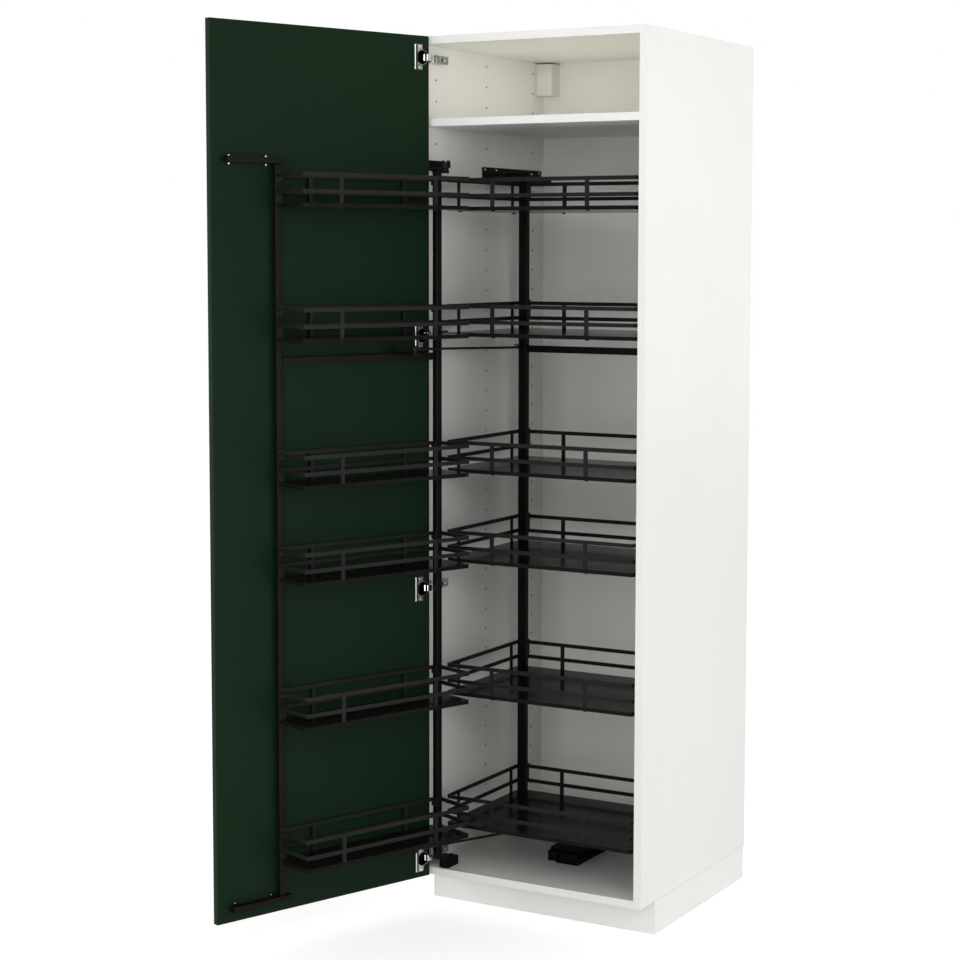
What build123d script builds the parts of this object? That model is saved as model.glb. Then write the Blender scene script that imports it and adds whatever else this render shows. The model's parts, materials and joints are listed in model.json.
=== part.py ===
from build123d import *
import os
from math import atan2, cos, degrees, hypot, radians, sin

# Tall kitchen cabinet with a swing-out larder fitting behind one door.
# Millimetres. Origin on the floor, at the middle of the plinth's front board.
# +X to the right, +Y to the back, +Z up. Modelled with the door open.

# Carcass
CARCASS_W = 600.0
CARCASS_D = 600.0
CARCASS_H = 2000.0
PANEL_T = 18.0
BACK_T = 6.0
BACK_INSET = 2.0
TOP_BAY_H = 173.0
PLINTH_H = 80.0
PLINTH_T = 16.0
PLINTH_RECESS = 78.0
PLINTH_END_SETBACK = 7.0
PLINTH_GAP = 0.3
LEG_INSET_SIDE = 60.0
LEG_INSET_FRONT = 130.0
LEG_INSET_BACK = 60.0
LEG_R = 15.0
LEG_FOOT_R = 24.0
LEG_FOOT_H = 8.0
COVER_W = 46.0
COVER_D = 44.0
COVER_H = 80.0
COVER_DROP = 4.0
COVER_FILLET = 4.0

# Door
DOOR_T = 16.0
DOOR_SIDE_GAP = 1.5
DOOR_END_GAP = 1.5
DOOR_FACE_GAP = 2.5
DOOR_EDGE_R = 1.0
DOOR_OPEN_ANGLE = 110.5
DOOR_OPEN_RIGHT = 40.6
DOOR_OPEN_FORWARD = 9.5

# Concealed hinges: two measured up from the carcass underside, two down from its top
HINGES_UP = (45.5, 701.0)
HINGES_DOWN = (698.0, 51.0)
CUP_R = 17.5
CUP_TAB = 3.0
CUP_BORE_DEPTH = 13.0
CUP_FIT = 0.1
CUP_WALL = 0.8
CUP_FLOOR_T = 0.5
WING_REACH = 22.5
WING_H = 58.0
WING_T = 2.0
CUP_PIN_IN = 10.0
CUP_PIN_DEPTH = 5.0
PIN_R = 1.5
PIN_FIT = 0.25
LINK_STANDOFF = 30.0
LINK_T = 3.0
LINK_W = 14.0
LINK_EYE_R = 3.2
LINK_CORNER = (-3.0, 3.0)
LINK_MOUTH = (7.0, 2.6)
ARM_CHEEK_T = 2.0
ARM_CHEEK_R = 5.0
ARM_GAP = 0.4
ARM_BACK = 82.0
ARM_START = 24.0
ARM_W = 17.0
PLATE_T = 3.0
PLATE_H = 17.0
PLATE_FRONT = 25.0
PLATE_LEN = 45.0

# Front frame: pivot axis, from the left panel's inner face and the carcass front
PIVOT_IN = 51.8
PIVOT_BACK = 14.2
PIVOT_PIN_R = 5.0
PIVOT_FIT = 0.25
COLLAR_R = 9.0
SEAT_GAP = 0.3
FRAME_BOTTOM = 26.0
FRAME_HEAD = 103.0
KNUCKLE_T = 6.0
KNUCKLE_R = 10.0
PIVOT_POST_E = 15.5
PIVOT_POST_W = 16.5
FRAME_BACK = -8.0
PIVOT_POST_D = 17.0
FAR_POST_PROUD = 1.0
FAR_POST_W = 16.0
FAR_POST_D = 8.0
POST_EDGE_R = 2.5
CROSS_RAIL_GAP = 37.0
CROSS_RAIL_H = 17.0
CROSS_RAIL_D = 8.0
COLLAR_STEP = 6.0
PIVOT_BLOCK_W = 24.0
PIVOT_BLOCK_FRONT = 8.0
PIVOT_BLOCK_LEN = 48.0
PIVOT_BLOCK_H = 22.0
TOP_BRACKET_T = 13.0
TOP_BRACKET_W = 26.0
TOP_BRACKET_PLATE_H = 25.0
TOP_BRACKET_PLATE_T = 5.0
TOP_BRACKET_PLATE_LEN = 91.0

# Door guides that the far post's shoes run along
GUIDE_END_IN = 32.0
GUIDE_LEN = 156.0
GUIDE_H = 11.0
GUIDE_DEPTH = 17.0
GUIDE_STANDOFF = 2.0
GUIDE_WALL = 2.0
GUIDE_FOOT_R = 11.0
GUIDE_FOOT_IN = 13.0
GUIDE_PAD_W = 14.0
GUIDE_PAD_H = 24.0
GUIDE_PAD_IN = 47.0
GUIDE_SLEEVE_LEN = 86.0
GUIDE_SLEEVE_T = 2.0
SHOE_T = 3.0
SHOE_GAP = 0.5

# Baskets and shelves: six tiers, spread over the frame's height in the proportion of these steps
TIER_STEPS = (295.5, 323.0, 215.0, 322.5, 321.5)
TOP_TIER_DROP = 22.0
LOW_TIER_RISE = 144.5
RAIL_H = 9.0
RAIL_T = 3.0
RAIL_CORNER_R = 5.0
MID_RAIL_DROP = 37.0
UPRIGHT_W = 10.0
TRAY_DROP = 62.5
TRAY_T = 9.0
TRAY_CORNER_R = 8.0
NOTCH_GAP = 0.5
HOOK_T = 3.0
HOOK_TOP_H = 22.0
HOOK_LOW_H = 39.0
HOOK_OVER = 9.0
BASKET_E = 12.0
BASKET_END_GAP = 38.2
BASKET_BACK = -11.5
BASKET_D = 121.0
BASKET_UPRIGHT_IN = 100.0
SHELF_UPRIGHT_IN = 124.0
SHELF_LEFT = 47.4
SHELF_RIGHT = 20.6
SHELF_FRONT = 28.0
SHELF_BACK_GAP = 18.0
SIDE_UPRIGHT_FRONT = 54.0
SIDE_UPRIGHT_BACK = 47.0

# Rear frame
REAR_TRAVEL = 185.0
REAR_POST_W = 24.0
REAR_POST_D = 16.0
REAR_GROOVE_W = 6.0
REAR_GROOVE_D = 2.0
REAR_FRAME_HEAD = 101.0
REAR_RAIL_GAP = 34.0
REAR_RAIL_D = 8.0
FOOT_BAR_Z = 33.0
FOOT_BAR_H = 18.0
FOOT_BAR_D = 12.0
SLIDER_T = 4.0
SLIDER_TONGUE_T = 6.0
SLIDER_TONGUE_LEN = 32.0
WALL_GUIDE_FRONT = 275.0
WALL_GUIDE_BACK_GAP = 17.0
WALL_GUIDE_H = 37.0
WALL_GUIDE_T = 3.0
WALL_GUIDE_HOLES_FRONT = ((10.0, 6.5), (66.0, 6.5))
WALL_GUIDE_HOLES_BACK = ((53.0, 10.5), (13.0, 6.5))
WALL_GUIDE_HOLE_R = 2.5
WALL_RAIL_FRONT = 290.0
WALL_RAIL_BACK_GAP = 12.0
WALL_RAIL_W = 16.0
WALL_RAIL_H = 14.0
WALL_RAIL_WALL = 2.0
WALL_RAIL_IN = 14.0
FLOOR_RAIL_X = 14.0
FLOOR_RAIL_W = 60.0
FLOOR_RAIL_FRONT = 180.0
FLOOR_RAIL_BACK_GAP = 27.0
FLOOR_RAIL_H = 12.0
FLOOR_RAIL_T = 2.0
CARRIAGE_FRONT = 188.0
CARRIAGE_BACK_GAP = 42.0
CARRIAGE_GAP = 2.0
CARRIAGE_BRIDGE_T = 6.0
CARRIAGE_BLOCK_H = 25.0
CARRIAGE_SPLIT = 14.0
CHEEK_W = 24.0
CHEEK_LEN = 26.0
STEM_W = 20.0

# Control rods from the front frame to the rear frame
ROD_R = 3.0
ROD_EYE_R = 7.0
ROD_EYE_H = 6.0
ROD_PIN_R = 4.0
ROD_PIN_HEAD_R = 6.0
ROD_PIN_HEAD_H = 2.5
ROD_HEAD_GAP = 1.5
ROD_FRONT_N = 57.0
ROD_REAR_IN = 57.0
ROD_REAR_AHEAD = 9.0
ROD_TAB_GAP = 1.5
ROD_TAB_AHEAD = 4.0
ROD_PIN_STEP = 3.0
ROD_BRACKET_T = 3.0
ROD_BRACKET_W = 20.0
UPPER_ROD_FRONT_UP = 30.0
UPPER_ROD_REAR_UP = 15.0
LOWER_ROD_FRONT_Z = 81.0
LOWER_ROD_REAR_Z = 6.0
TAB_T = 3.0
TAB_W = 22.0

# Planes of the carcass that everything is measured from
LEFT = -CARCASS_W / 2
RIGHT = CARCASS_W / 2
FRONT = -PLINTH_RECESS - PLINTH_T / 2
REAR = FRONT + CARCASS_D
UNDER = PLINTH_H
TOP = PLINTH_H + CARCASS_H
IN_LEFT = LEFT + PANEL_T
IN_RIGHT = RIGHT - PANEL_T
FLOOR = UNDER + PANEL_T
CEILING = TOP - PANEL_T
IN_BACK = REAR - BACK_INSET - BACK_T
DOOR_W = CARCASS_W - 2 * DOOR_SIDE_GAP
DOOR_Z = UNDER + DOOR_END_GAP
DOOR_H = CARCASS_H - 2 * DOOR_END_GAP
CUP_U = CUP_TAB + CUP_R
HINGE_HEIGHTS = HINGES_UP + tuple(CARCASS_H - down for down in HINGES_DOWN)

# Heights of the fitting above the floor panel, hung from the fixed shelf
ROOM_H = CEILING - TOP_BAY_H - PANEL_T - FLOOR
FRAME_TOP = ROOM_H - FRAME_HEAD
REAR_FRAME_TOP = ROOM_H - REAR_FRAME_HEAD
TOP_TIER = FRAME_TOP - TOP_TIER_DROP
TIER_SCALE = (TOP_TIER - FRAME_BOTTOM - LOW_TIER_RISE) / sum(TIER_STEPS)
TIERS = [TOP_TIER - TIER_SCALE * sum(TIER_STEPS[:i]) for i in range(len(TIER_STEPS) + 1)]
UNDER_TIER = TRAY_DROP + TRAY_T
CROSS_RAIL_Z = TIERS[1] - UNDER_TIER - CROSS_RAIL_GAP - CROSS_RAIL_H
REAR_RAIL_Z = TIERS[1] - UNDER_TIER - REAR_RAIL_GAP - CROSS_RAIL_H
UPPER_ROD_FRONT_Z = CROSS_RAIL_Z + UPPER_ROD_FRONT_UP
UPPER_ROD_REAR_Z = CROSS_RAIL_Z + UPPER_ROD_REAR_UP

# Lengths of the fitting, from the room between the panels
ROOM_W = IN_RIGHT - IN_LEFT
ROOM_D = IN_BACK - FRONT
BASKET_L = ROOM_W - PIVOT_IN - BASKET_E - BASKET_END_GAP
FAR_POST_E = BASKET_E + BASKET_L + FAR_POST_PROUD - FAR_POST_W
GUIDE_START = DOOR_W - GUIDE_END_IN - GUIDE_LEN
SHELF_W = ROOM_W - SHELF_LEFT - SHELF_RIGHT
SHELF_D = ROOM_D - SHELF_FRONT - REAR_TRAVEL - SHELF_BACK_GAP
WALL_GUIDE_LEN = ROOM_D - WALL_GUIDE_FRONT - WALL_GUIDE_BACK_GAP
WALL_RAIL_LEN = ROOM_D - WALL_RAIL_FRONT - WALL_RAIL_BACK_GAP
FLOOR_RAIL_LEN = ROOM_D - FLOOR_RAIL_FRONT - FLOOR_RAIL_BACK_GAP
FOOT_BAR_FRONT = SHELF_FRONT + SHELF_D - RAIL_T - (REAR_POST_D + FOOT_BAR_D) / 2
CARRIAGE_LEN = FOOT_BAR_FRONT - CARRIAGE_BACK_GAP - CARRIAGE_FRONT


def block(x0, x1, y0, y1, z0, z1):
    """A box between two opposite corners."""
    return Pos((x0 + x1) / 2, (y0 + y1) / 2, (z0 + z1) / 2) * Box(x1 - x0, y1 - y0, z1 - z0)


def slab(sketch, z, height):
    """A flat shape raised from height z."""
    return extrude(Plane.XY.offset(z) * sketch, height)


def disc(x, y, z, radius, height):
    """A cylinder standing on height z."""
    return Pos(x, y, z + height / 2) * Cylinder(radius, height)


def group(solids):
    """Several separate pieces in one node."""
    return Compound(children=list(solids))


def turned(x, y, angle):
    """A point turned about the origin."""
    a = radians(angle)
    return (x * cos(a) - y * sin(a), x * sin(a) + y * cos(a))


def strap(points, width):
    """A flat strip of constant width along a chain of points."""
    shape = Sketch()
    for (x0, y0), (x1, y1) in zip(points, points[1:]):
        run = hypot(x1 - x0, y1 - y0)
        bend = degrees(atan2(y1 - y0, x1 - x0))
        shape += Pos((x0 + x1) / 2, (y0 + y1) / 2) * Rot(0, 0, bend) * Rectangle(run, width)
    for x, y in points:
        shape += Pos(x, y) * Circle(width / 2)
    return shape


def post(x0, x1, y0, y1, z0, z1):
    """An upright of rounded rectangular section."""
    section = Pos((x0 + x1) / 2, (y0 + y1) / 2) * RectangleRounded(x1 - x0, y1 - y0, POST_EDGE_R)
    return slab(section, z0, z1 - z0)


# Where the open door stands: its inner face's hinge edge, and the way its own axes turn
DOOR_SHUT = (LEFT + DOOR_SIDE_GAP, FRONT - DOOR_FACE_GAP)
DOOR_OPEN = (DOOR_SHUT[0] + DOOR_OPEN_RIGHT, DOOR_SHUT[1] - DOOR_OPEN_FORWARD)
PIVOT = (IN_LEFT + PIVOT_IN, FRONT + PIVOT_BACK)


def on_door(u, n):
    """A point u from the hinge edge and n in front of the inner face of the open door."""
    dx, dy = turned(u, n, -DOOR_OPEN_ANGLE)
    return (DOOR_OPEN[0] + dx, DOOR_OPEN[1] + dy)


def in_door(solid):
    """A piece drawn on the shut door's own axes, carried to the open door."""
    return Location((DOOR_OPEN[0], DOOR_OPEN[1], 0), (0, 0, -DOOR_OPEN_ANGLE)) * solid


def in_frame(solid):
    """A piece drawn from the pivot axis of the shut front frame, swung out with it."""
    return Location((PIVOT[0], PIVOT[1], 0), (0, 0, -DOOR_OPEN_ANGLE)) * solid


# Each goose-neck link turns on a pin in the carcass arm and carries a pin in the door cup.
# The arm pin is equally far from the cup pin's shut and open places.
CUP_PIN_SHUT = (DOOR_SHUT[0] + CUP_PIN_IN, DOOR_SHUT[1] - CUP_PIN_DEPTH)
CUP_PIN_OPEN = on_door(CUP_PIN_IN, -CUP_PIN_DEPTH)
PIN_STEP = (CUP_PIN_OPEN[0] - CUP_PIN_SHUT[0], CUP_PIN_OPEN[1] - CUP_PIN_SHUT[1])
PIN_STEP_LEN = hypot(*PIN_STEP)
ARM_PIN = (
    (CUP_PIN_SHUT[0] + CUP_PIN_OPEN[0]) / 2 - LINK_STANDOFF * PIN_STEP[1] / PIN_STEP_LEN,
    (CUP_PIN_SHUT[1] + CUP_PIN_OPEN[1]) / 2 + LINK_STANDOFF * PIN_STEP[0] / PIN_STEP_LEN,
)
LINK_TURN = 2 * degrees(atan2(PIN_STEP_LEN / 2, LINK_STANDOFF))

# Rear end of the control rods, and the front end that keeps their length at both limits
ROD_REAR = (IN_LEFT + ROD_REAR_IN, FRONT + SHELF_FRONT + SHELF_D - RAIL_T - REAR_POST_D - ROD_REAR_AHEAD)
OPEN_A = (ROD_REAR[0] - PIVOT[0], ROD_REAR[1] - PIVOT[1])
SHUT_B = (OPEN_A[0], OPEN_A[1] + REAR_TRAVEL)
E_DIR = turned(1, 0, -DOOR_OPEN_ANGLE)
N_DIR = turned(0, 1, -DOOR_OPEN_ANGLE)
A_ON_E = OPEN_A[0] * E_DIR[0] + OPEN_A[1] * E_DIR[1]
A_ON_N = OPEN_A[0] * N_DIR[0] + OPEN_A[1] * N_DIR[1]
HALF_DIFF = (OPEN_A[0] ** 2 + OPEN_A[1] ** 2 - SHUT_B[0] ** 2 - SHUT_B[1] ** 2) / 2
ROD_FRONT_E = (HALF_DIFF - ROD_FRONT_N * (A_ON_N - SHUT_B[1])) / (A_ON_E - SHUT_B[0])
ROD_FRONT_STEP = turned(ROD_FRONT_E, ROD_FRONT_N, -DOOR_OPEN_ANGLE)
ROD_FRONT = (PIVOT[0] + ROD_FRONT_STEP[0], PIVOT[1] + ROD_FRONT_STEP[1])
ROD_OPEN_BEARING = degrees(atan2(ROD_REAR[1] - ROD_FRONT[1], ROD_REAR[0] - ROD_FRONT[0]))
ROD_SHUT_BEARING = degrees(atan2(SHUT_B[1] - ROD_FRONT_N, SHUT_B[0] - ROD_FRONT_E))


# Carcass panels
def carcass():
    shelf_top = CEILING - TOP_BAY_H
    return {
        "side_panel_left": block(LEFT, IN_LEFT, FRONT, REAR, UNDER, TOP),
        "side_panel_right": block(IN_RIGHT, RIGHT, FRONT, REAR, UNDER, TOP),
        "bottom_panel": block(IN_LEFT, IN_RIGHT, FRONT, IN_BACK, UNDER, FLOOR),
        "top_panel": block(IN_LEFT, IN_RIGHT, FRONT, IN_BACK, CEILING, TOP),
        "fixed_shelf": block(IN_LEFT, IN_RIGHT, FRONT, IN_BACK, shelf_top - PANEL_T, shelf_top),
        "back_panel": block(IN_LEFT, IN_RIGHT, IN_BACK, IN_BACK + BACK_T, UNDER, TOP),
    }


# Plinth boards and the screw legs that they hide
def base():
    plinth_top = UNDER - PLINTH_GAP
    face = FRONT + PLINTH_RECESS
    end = REAR - PLINTH_END_SETBACK
    returns = []
    for x0, x1 in ((LEFT, LEFT + PLINTH_T), (RIGHT - PLINTH_T, RIGHT)):
        returns.append(block(x0, x1, face + PLINTH_T, end, 0, plinth_top))
    legs = []
    for x in (LEFT + LEG_INSET_SIDE, RIGHT - LEG_INSET_SIDE):
        for y in (FRONT + LEG_INSET_FRONT, REAR - LEG_INSET_BACK):
            foot = disc(x, y, 0, LEG_FOOT_R, LEG_FOOT_H)
            stem = disc(x, y, LEG_FOOT_H, LEG_R, UNDER - 2 * LEG_FOOT_H)
            head = disc(x, y, UNDER - LEG_FOOT_H, LEG_FOOT_R, LEG_FOOT_H)
            legs.append(foot + stem + head)
    return {
        "plinth_front": block(LEFT, RIGHT, face, face + PLINTH_T, 0, plinth_top),
        "plinth_returns": group(returns),
        "screw_legs": group(legs),
    }


# Moulded covers over the hanging brackets in the top back corners
def bracket_covers():
    covers = []
    for x0 in (IN_LEFT, IN_RIGHT - COVER_W):
        z1 = CEILING - COVER_DROP
        cover = block(x0, x0 + COVER_W, IN_BACK - COVER_D, IN_BACK, z1 - COVER_H, z1)
        front_edges = cover.edges().filter_by(Axis.Z).sort_by(Axis.Y)[:2]
        covers.append(fillet(front_edges, COVER_FILLET))
    return {"hanging_bracket_covers": group(covers)}


# Concealed hinges: plates and arms on the carcass, links between, cups in the door
def hinges():
    plates = []
    arms = []
    links = []
    cups = []
    half = LINK_W / 2
    cheek_z = half + ARM_GAP
    y_arm = FRONT + ARM_START
    x_arm = IN_LEFT + PLATE_T
    arm_plan = Pos(*ARM_PIN) * Circle(ARM_CHEEK_R)
    arm_plan += Polygon(
        (ARM_PIN[0] - ARM_CHEEK_R, ARM_PIN[1]),
        (ARM_PIN[0] + ARM_CHEEK_R, ARM_PIN[1]),
        (x_arm + ARM_W, y_arm + ARM_CHEEK_R),
        (x_arm, y_arm + ARM_CHEEK_R),
        align=None,
    )
    link_plan = strap([ARM_PIN, on_door(*LINK_CORNER), on_door(*LINK_MOUTH), CUP_PIN_OPEN], LINK_T)
    for end in (ARM_PIN, CUP_PIN_OPEN):
        link_plan += Pos(*end) * Circle(LINK_EYE_R)
    for end in (ARM_PIN, CUP_PIN_OPEN):
        link_plan -= Pos(*end) * Circle(PIN_R + PIN_FIT)
    shell_r = CUP_R - CUP_FIT
    mouth_r = shell_r - CUP_WALL
    shell_depth = CUP_BORE_DEPTH - CUP_FIT
    for height in HINGE_HEIGHTS:
        z = UNDER + height
        plates.append(block(IN_LEFT, x_arm, FRONT + PLATE_FRONT, FRONT + PLATE_FRONT + PLATE_LEN,
                            z - PLATE_H / 2, z + PLATE_H / 2))
        arm = block(x_arm, x_arm + ARM_W, y_arm + ARM_CHEEK_R, FRONT + ARM_BACK,
                    z - cheek_z - ARM_CHEEK_T, z + cheek_z + ARM_CHEEK_T)
        arm += slab(arm_plan, z + cheek_z, ARM_CHEEK_T)
        arm += slab(arm_plan, z - cheek_z - ARM_CHEEK_T, ARM_CHEEK_T)
        arm += disc(*ARM_PIN, z - cheek_z, PIN_R, 2 * cheek_z)
        arms.append(arm)
        links.append(slab(link_plan, z - half, LINK_W))
        bowl = Pos(CUP_U, -shell_depth / 2, z) * Rot(90, 0, 0) * Cylinder(shell_r, shell_depth)
        bowl += block(CUP_U, CUP_U + WING_REACH, 0, WING_T, z - WING_H / 2, z + WING_H / 2)
        hollow = shell_depth - CUP_FLOOR_T + WING_T
        bowl -= Pos(CUP_U, WING_T - hollow / 2, z) * Rot(90, 0, 0) * Cylinder(mouth_r, hollow)
        pin = disc(CUP_PIN_IN, -CUP_PIN_DEPTH, z - CUP_R, PIN_R, 2 * CUP_R)
        bowl += pin & (Pos(CUP_U, -shell_depth / 2, z) * Rot(90, 0, 0) * Cylinder(shell_r, shell_depth))
        cups.append(in_door(bowl))
    return {
        "hinge_plates": group(plates),
        "hinge_arms": group(arms),
        "hinge_links": group(links),
        "hinge_cups": group(cups),
    }


# Door slab with its four cup bores
def door():
    slab_solid = block(0, DOOR_W, -DOOR_T, 0, DOOR_Z, DOOR_Z + DOOR_H)
    slab_solid = fillet(slab_solid.edges(), DOOR_EDGE_R)
    for height in HINGE_HEIGHTS:
        bore = Cylinder(CUP_R, CUP_BORE_DEPTH)
        slab_solid -= Pos(CUP_U, -CUP_BORE_DEPTH / 2, UNDER + height) * Rot(90, 0, 0) * bore
    return {"door_panel": in_door(slab_solid)}


# Guides on the door: bars on two feet, slotted on the side that faces the far post's shoe
GUIDE_TOP_Z = FLOOR + FRAME_TOP + SHOE_T + SHOE_GAP
GUIDE_LOW_Z = FLOOR + FRAME_BOTTOM - SHOE_T - SHOE_GAP - GUIDE_H


def door_guides():
    guides = {}
    end = GUIDE_START + GUIDE_LEN
    face = GUIDE_STANDOFF + GUIDE_DEPTH
    round_foot = Plane.XZ * Circle(GUIDE_FOOT_R)
    pad = Plane.XZ * RectangleRounded(GUIDE_PAD_W, GUIDE_PAD_H, GUIDE_PAD_W / 3)
    for name, z, slot_z in (("door_guide_top", GUIDE_TOP_Z, GUIDE_TOP_Z),
                            ("door_guide_bottom", GUIDE_LOW_Z, GUIDE_LOW_Z + GUIDE_WALL)):
        guide = block(GUIDE_START, end, GUIDE_STANDOFF, face, z, z + GUIDE_H)
        guide -= block(GUIDE_START + GUIDE_WALL, end - GUIDE_WALL, GUIDE_STANDOFF + GUIDE_WALL,
                       face - GUIDE_WALL, slot_z, slot_z + GUIDE_H - GUIDE_WALL)
        sleeve_z = z + (GUIDE_H if slot_z == z else -GUIDE_SLEEVE_T)
        guide += block(end - GUIDE_SLEEVE_LEN, end, GUIDE_STANDOFF, face + GUIDE_SLEEVE_T,
                       sleeve_z, sleeve_z + GUIDE_SLEEVE_T)
        guide += block(end - GUIDE_SLEEVE_LEN, end, face, face + GUIDE_SLEEVE_T, z, z + GUIDE_H)
        middle = z + GUIDE_H / 2
        guide += Pos(end - GUIDE_FOOT_IN, 0, middle) * extrude(round_foot, -GUIDE_STANDOFF)
        guide += Pos(GUIDE_START + GUIDE_PAD_IN, 0, middle) * extrude(pad, -GUIDE_STANDOFF)
        guides[name] = in_door(guide)
    return guides


# Fixed bearings that the front frame turns on
def pivot_bearings():
    x, y = PIVOT
    seat = FLOOR + FRAME_BOTTOM - SEAT_GAP
    low = block(x - PIVOT_BLOCK_W / 2, x + PIVOT_BLOCK_W / 2, FRONT + PIVOT_BLOCK_FRONT,
                FRONT + PIVOT_BLOCK_FRONT + PIVOT_BLOCK_LEN, FLOOR, FLOOR + PIVOT_BLOCK_H)
    low += disc(x, y, FLOOR, COLLAR_R, seat - FLOOR)
    low += disc(x, y, FLOOR, PIVOT_PIN_R, FRAME_BOTTOM + KNUCKLE_T)
    seat = FLOOR + FRAME_TOP + SEAT_GAP
    arm_z = seat + COLLAR_STEP
    half = TOP_BRACKET_W / 2
    arm_mid = arm_z + TOP_BRACKET_T / 2
    high = block(IN_LEFT, x, y - half, y + half, arm_z, arm_z + TOP_BRACKET_T)
    high += disc(x, y, arm_z, half, TOP_BRACKET_T)
    high += block(IN_LEFT, IN_LEFT + TOP_BRACKET_PLATE_T, y - half, y - half + TOP_BRACKET_PLATE_LEN,
                  arm_mid - TOP_BRACKET_PLATE_H / 2, arm_mid + TOP_BRACKET_PLATE_H / 2)
    high += disc(x, y, seat, COLLAR_R, arm_z - seat)
    high += disc(x, y, FLOOR + FRAME_TOP - KNUCKLE_T, PIVOT_PIN_R, KNUCKLE_T + TOP_BRACKET_T)
    return {"pivot_block_bottom": low, "pivot_bracket_top": high}


# Front frame: two posts, a cross rail, pivot knuckles and guide shoes
def front_frame():
    low = FLOOR + FRAME_BOTTOM
    high = FLOOR + FRAME_TOP
    e1 = PIVOT_POST_E + PIVOT_POST_W
    n1 = FRAME_BACK + PIVOT_POST_D
    knuckle_plan = Circle(KNUCKLE_R)
    knuckle_plan += Pos(e1 / 2, (FRAME_BACK + n1) / 2) * Rectangle(e1, PIVOT_POST_D)
    knuckle_plan -= Circle(PIVOT_PIN_R + PIVOT_FIT)
    knuckles = [in_frame(slab(knuckle_plan, z, KNUCKLE_T)) for z in (low, high - KNUCKLE_T)]
    far_end = FAR_POST_E + FAR_POST_W
    rail_z = FLOOR + CROSS_RAIL_Z
    shoes = [in_frame(post(FAR_POST_E, far_end, FRAME_BACK, FRAME_BACK + FAR_POST_D, z, z + SHOE_T))
             for z in (low - SHOE_T, high)]
    return {
        "front_post_pivot": in_frame(post(PIVOT_POST_E, e1, FRAME_BACK, n1, low + KNUCKLE_T, high - KNUCKLE_T)),
        "front_post_far": in_frame(post(FAR_POST_E, far_end, FRAME_BACK, FRAME_BACK + FAR_POST_D, low, high)),
        "front_cross_rail": in_frame(block(e1, FAR_POST_E, FRAME_BACK, FRAME_BACK + CROSS_RAIL_D,
                                           rail_z, rail_z + CROSS_RAIL_H)),
        "front_pivot_knuckles": group(knuckles),
        "front_guide_shoes": group(shoes),
    }


def rail_frame(x0, y0, length, depth, z, spots):
    """Two flat-bar rails in a rounded oblong, on uprights that stand on the tray board."""
    ring = RectangleRounded(length, depth, RAIL_CORNER_R)
    ring -= RectangleRounded(length - 2 * RAIL_T, depth - 2 * RAIL_T, RAIL_CORNER_R - RAIL_T)
    plan = Pos(x0 + length / 2, y0 + depth / 2) * ring
    frame = slab(plan, z - RAIL_H / 2, RAIL_H) + slab(plan, z - MID_RAIL_DROP - RAIL_H / 2, RAIL_H)
    for x, y, wide, deep in spots:
        frame += block(x - wide / 2, x + wide / 2, y - deep / 2, y + deep / 2, z - TRAY_DROP, z + RAIL_H / 2)
    return frame


def tray_board(x0, y0, length, depth, z):
    """The board under the rails, flush with them all round."""
    outline = Pos(x0 + length / 2, y0 + depth / 2) * RectangleRounded(length, depth, TRAY_CORNER_R)
    return slab(outline, z - UNDER_TIER, TRAY_T)


# Front baskets, one each tier, hooked on the two posts of the front frame
def front_baskets():
    nodes = {}
    front = BASKET_BACK + BASKET_D
    end = BASKET_E + BASKET_L
    spots = []
    for e in (BASKET_E + BASKET_UPRIGHT_IN, end - BASKET_UPRIGHT_IN):
        for n in (BASKET_BACK + RAIL_T / 2, front - RAIL_T / 2):
            spots.append((e, n, UPRIGHT_W, RAIL_T))
    hook_front = FRAME_BACK + FAR_POST_D + HOOK_T
    pivot_end = PIVOT_POST_E + PIVOT_POST_W
    pivot_front = FRAME_BACK + PIVOT_POST_D
    far_start = FAR_POST_E - NOTCH_GAP
    for tier, height in enumerate(TIERS, start=1):
        z = FLOOR + height
        under = z - UNDER_TIER
        over = z + HOOK_OVER
        basket = rail_frame(BASKET_E, BASKET_BACK, BASKET_L, BASKET_D, z, spots)
        basket -= block(far_start, end, BASKET_BACK, hook_front, under, over)
        for z0, tall in ((over - HOOK_TOP_H, HOOK_TOP_H), (under, HOOK_LOW_H)):
            basket += block(FAR_POST_E, end, hook_front - HOOK_T, hook_front, z0, z0 + tall)
        basket += block(pivot_end, pivot_end + HOOK_T, BASKET_BACK + RAIL_T, pivot_front,
                        over - HOOK_TOP_H, z + RAIL_H / 2)
        tray = tray_board(BASKET_E, BASKET_BACK, BASKET_L, BASKET_D, z)
        tray -= block(PIVOT_POST_E - NOTCH_GAP, pivot_end + NOTCH_GAP, BASKET_BACK, pivot_front + NOTCH_GAP, under, z)
        tray -= block(far_start, end, BASKET_BACK, hook_front + NOTCH_GAP, under, z)
        nodes[f"front_basket_{tier}"] = in_frame(basket)
        nodes[f"front_tray_{tier}"] = in_frame(tray)
    return nodes


# Rear shelves and the sliding frame that carries them
SHELF_X = IN_LEFT + SHELF_LEFT
SHELF_Y = FRONT + SHELF_FRONT
SHELF_BACK = SHELF_Y + SHELF_D
REAR_POST_Y = SHELF_BACK - RAIL_T - REAR_POST_D
REAR_POST_X = SHELF_X + RAIL_T
REAR_POST_X2 = SHELF_X + SHELF_W - RAIL_T - REAR_POST_W


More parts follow.
